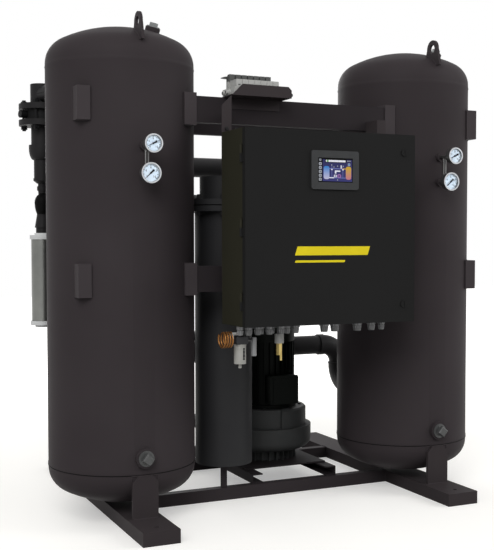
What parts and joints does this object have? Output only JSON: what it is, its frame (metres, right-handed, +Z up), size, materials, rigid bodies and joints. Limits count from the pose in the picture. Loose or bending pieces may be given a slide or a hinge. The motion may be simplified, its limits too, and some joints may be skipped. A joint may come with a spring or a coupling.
{
  "type": "desiccant air dryer",
  "caption": "Skid-mounted desiccant air dryer with tall domed towers tied by beams, a hinged control cabinet with a display, an upright heater, a purge blower and exhaust mufflers.",
  "frame": {"origin": "centre of the four anchor holes, on the floor", "axes": "+Z up, +X to the right seen from the cabinet side, +Y to the back, where the pipes are"},
  "size_m": [1.8258, 1.4516, 1.8779],
  "materials": {
    "paint": "satin",
    "cabinet_paint": "satin",
    "steel": "brushed",
    "muffler": "satin",
    "beads": "matte",
    "dial": "matte",
    "glass": "clear",
    "blue_pointer": "matte",
    "grey_pointer": "matte",
    "ivory": "satin",
    "coil_grey": "matte",
    "seal": "matte",
    "bezel": "satin",
    "screen": "lit",
    "panel": "satin",
    "device": "matte",
    "gland": "matte",
    "copper": "satin",
    "housing": "cast",
    "motor": "satin",
    "valve": "painted"
  },
  "bodies": {
    "base": {"left_skid_rail": "paint", "right_skid_rail": "paint", "front_cross_member": "paint", "middle_cross_member": "paint", "rear_cross_member": "paint", "blower_channels": "paint", "blower_plate": "paint", "heater_leg": "paint", "left_tower": "paint", "right_tower": "paint", "tower_legs": "paint", "mounting_pads": "paint", "lifting_lugs": "paint", "fill_plugs": "steel", "drain_plugs": "paint", "left_desiccant": "beads", "right_desiccant": "beads", "bed_screens": "steel", "gauge_stems": "steel", "gauge_cases": "steel", "gauge_dials": "dial", "gauge_glasses": "glass", "front_tie_beams": "paint", "rear_tie_beams": "paint", "cabinet_straps": "paint", "valve_tray": "paint", "valve_manifold": "ivory", "solenoid_coils": "coil_grey", "cabinet_box": "cabinet_paint", "hinge_pins": "steel", "panel_plate": "panel", "panel_rails": "steel", "panel_devices": "device", "cable_glands": "gland", "pilot_filter": "steel", "pilot_coil": "copper", "pressure_switch": "ivory", "heater_shell": "paint", "heater_head": "paint", "heater_elements": "steel", "blower_housing": "housing", "blower_motor": "motor", "blower_silencer": "housing", "inlet_manifold": "paint", "outlet_manifold": "paint", "purge_piping": "paint", "wafer_valves": "valve", "exhaust_stacks": "paint", "mufflers": "muffler"},
    "door": {"cabinet_door": "cabinet_paint", "door_gasket": "seal", "display_bezel": "bezel", "display_screen": "screen"},
    "upper_latch": {"upper_latch": "cabinet_paint"},
    "lower_latch": {"lower_latch": "cabinet_paint"},
    "left_upper_pointer": {"left_upper_pointer": "blue_pointer"},
    "left_lower_pointer": {"left_lower_pointer": "grey_pointer"},
    "right_upper_pointer": {"right_upper_pointer": "blue_pointer"},
    "right_lower_pointer": {"right_lower_pointer": "grey_pointer"},
    "impeller": {"blower_impeller": "steel"}
  },
  "joints": [
    {"name": "door_hinge", "type": "hinge", "parent": "base", "child": "door", "pos_m": [-0.3455, -0.72384, 1.1], "axis": [0, 0, -1], "range_deg": [0, 120]},
    {"name": "upper_latch_turn", "type": "hinge", "parent": "door", "child": "upper_latch", "pos_m": [0.313, -0.74859, 1.384], "axis": [0, -1, 0], "range_deg": [0, 90]},
    {"name": "lower_latch_turn", "type": "hinge", "parent": "door", "child": "lower_latch", "pos_m": [0.313, -0.74859, 0.816], "axis": [0, -1, 0], "range_deg": [0, 90]},
    {"name": "left_upper_pointer_turn", "type": "hinge", "parent": "base", "child": "left_upper_pointer", "pos_m": [-0.632, -0.6299, 1.393], "axis": [0, 1, 0], "range_deg": [-18, 252]},
    {"name": "left_lower_pointer_turn", "type": "hinge", "parent": "base", "child": "left_lower_pointer", "pos_m": [-0.632, -0.6019, 1.292], "axis": [0, 1, 0], "range_deg": [-1, 269]},
    {"name": "right_upper_pointer_turn", "type": "hinge", "parent": "base", "child": "right_upper_pointer", "pos_m": [0.632, -0.6299, 1.393], "axis": [0, 1, 0], "range_deg": [-18, 252]},
    {"name": "right_lower_pointer_turn", "type": "hinge", "parent": "base", "child": "right_lower_pointer", "pos_m": [0.632, -0.6019, 1.292], "axis": [0, 1, 0], "range_deg": [-1, 269]},
    {"name": "impeller_spin", "type": "hinge", "parent": "base", "child": "impeller", "pos_m": [0.128, 0.1185, 0.2], "axis": [0, 0, 1], "continuous": true}
  ]
}
